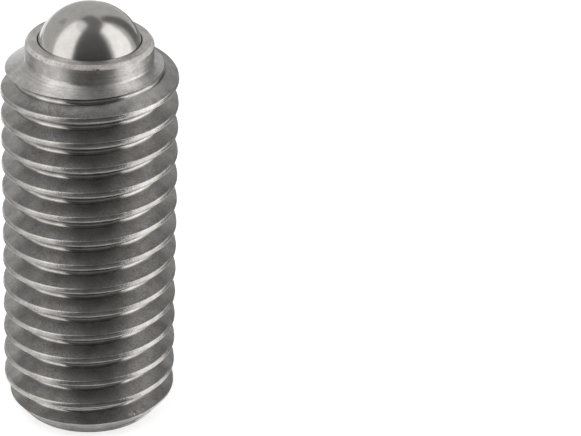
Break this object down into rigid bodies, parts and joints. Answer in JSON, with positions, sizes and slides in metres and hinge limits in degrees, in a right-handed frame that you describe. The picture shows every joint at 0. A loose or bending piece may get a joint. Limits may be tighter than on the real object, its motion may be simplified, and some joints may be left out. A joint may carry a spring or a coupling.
{
  "type": "spring plunger",
  "caption": "Threaded steel sleeve with a hexagon socket in one end and a spring-loaded steel ball held by a rolled rim in the other.",
  "frame": {"origin": "centre of the flat end face round the hexagon socket, which the plunger stands on", "axes": "+Z along the thread's axis towards the ball; the thread's crest crosses the +X side 1.29 mm above the end face"},
  "size_m": [0.0098, 0.0098, 0.025],
  "materials": {
    "sleeve_steel": "turned stainless steel with a satin, slightly mottled surface",
    "spring_steel": "drawn spring wire",
    "ball_steel": "hardened steel, polished to a mirror"
  },
  "bodies": {
    "sleeve": {"threaded_sleeve": "sleeve_steel"},
    "spring_end": {"spring": "spring_steel"},
    "ball": {"ball": "ball_steel"}
  },
  "joints": [
    {"name": "ball_press", "type": "slide", "parent": "sleeve", "child": "spring_end", "axis": [0, 0, -1], "range_m": [0, 0.002], "stiffness_N_per_m": 7300, "springref_m": -0.0026, "deforming": ["spring"]},
    {"name": "ball_roll", "type": "hinge", "parent": "spring_end", "child": "ball", "pos_m": [0, 0, 0.02208], "axis": [1, 0, 0], "continuous": true}
  ]
}
